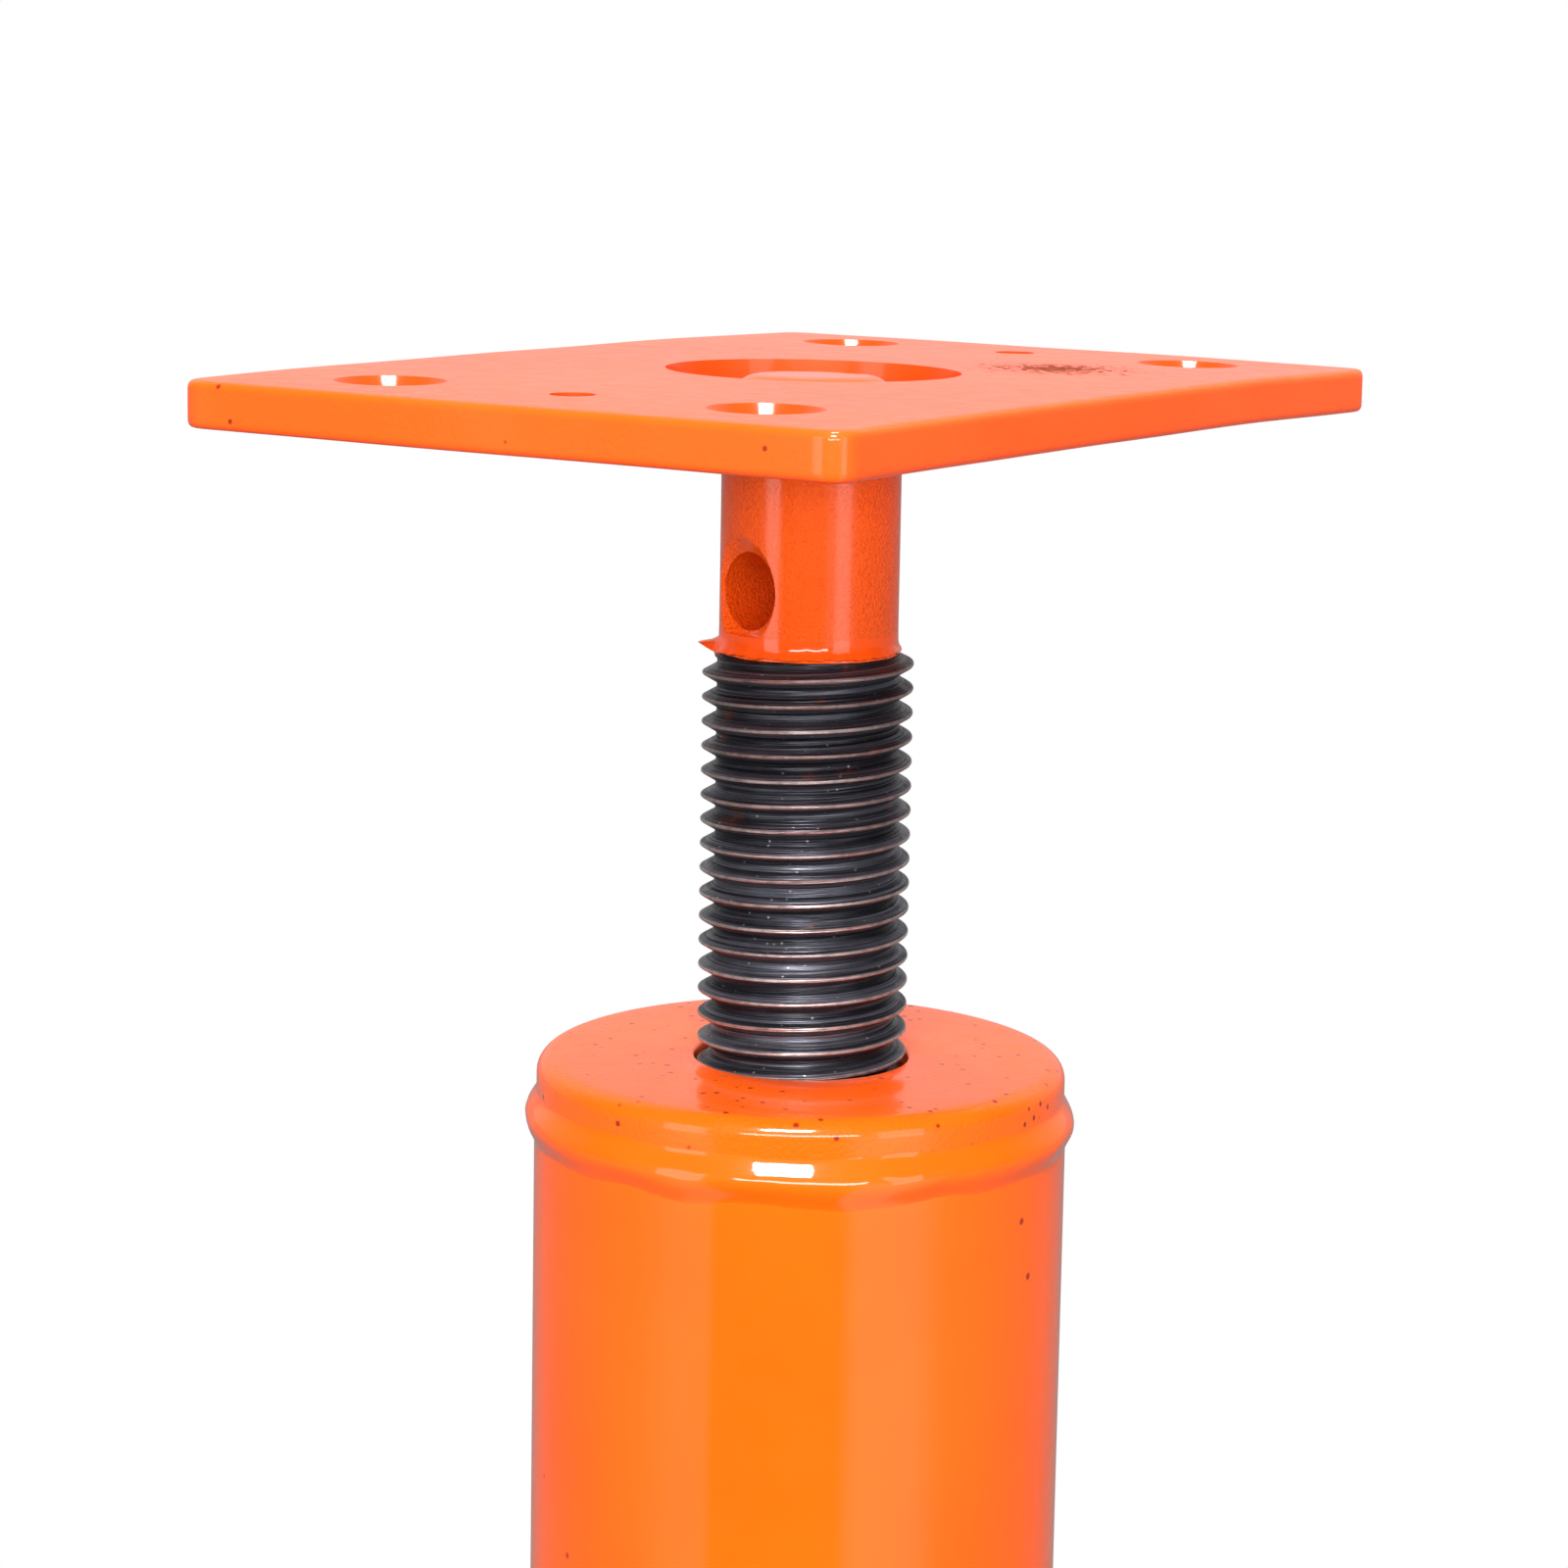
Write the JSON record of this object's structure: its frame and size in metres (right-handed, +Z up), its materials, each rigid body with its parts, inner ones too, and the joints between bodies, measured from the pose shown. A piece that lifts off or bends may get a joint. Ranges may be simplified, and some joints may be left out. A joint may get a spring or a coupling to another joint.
{
  "type": "screw jack stand",
  "caption": "Screw jack stand: square base with gusseted round post, capped fixed nut, coarse-thread jack screw with a tommy bar hole, and a swivelling drilled load plate.",
  "frame": {"origin": "centre of the base plate's underside", "axes": "+Z up along the post and the screw; the load plate's short side runs along X and its long side along Y at rest"},
  "size_m": [0.2, 0.2, 0.3458],
  "materials": {
    "orange_paint": "glossy orange sprayed paint over steel",
    "black_thread": "black-oxide steel thread with bright worn crests",
    "bare_steel": "plain turned steel"
  },
  "bodies": {
    "post": {"base_plate": "orange_paint", "post_tube": "orange_paint", "tube_cap": "orange_paint", "cap_weld": "orange_paint", "base_weld": "orange_paint", "gusset_front": "orange_paint", "gusset_right": "orange_paint", "gusset_back": "orange_paint", "gusset_left": "orange_paint", "gusset_weld_front": "orange_paint", "gusset_weld_right": "orange_paint", "gusset_weld_back": "orange_paint", "gusset_weld_left": "orange_paint", "lift_nut": "bare_steel", "nut_weld": "bare_steel"},
    "carrier": {"retaining_washer": "orange_paint"},
    "screw": {"jack_screw": "black_thread", "stop_collar": "bare_steel", "stop_pin": "bare_steel"},
    "plate": {"load_plate": "orange_paint"}
  },
  "joints": [
    {"name": "lift", "type": "slide", "parent": "post", "child": "carrier", "axis": [0, 0, 1], "range_m": [-0.055, 0.075]},
    {"name": "screw_turn", "type": "hinge", "parent": "carrier", "child": "screw", "pos_m": [0, 0, 0.315], "axis": [0, 0, 1], "range_deg": [-5650, 7700]},
    {"name": "plate_swivel", "type": "hinge", "parent": "carrier", "child": "plate", "pos_m": [0, 0, 0.342], "axis": [0, 0, 1], "continuous": true}
  ],
  "couplings": [
    {"joint": "lift", "follows": "screw_turn", "m_per_rad": 0.00055704}
  ]
}
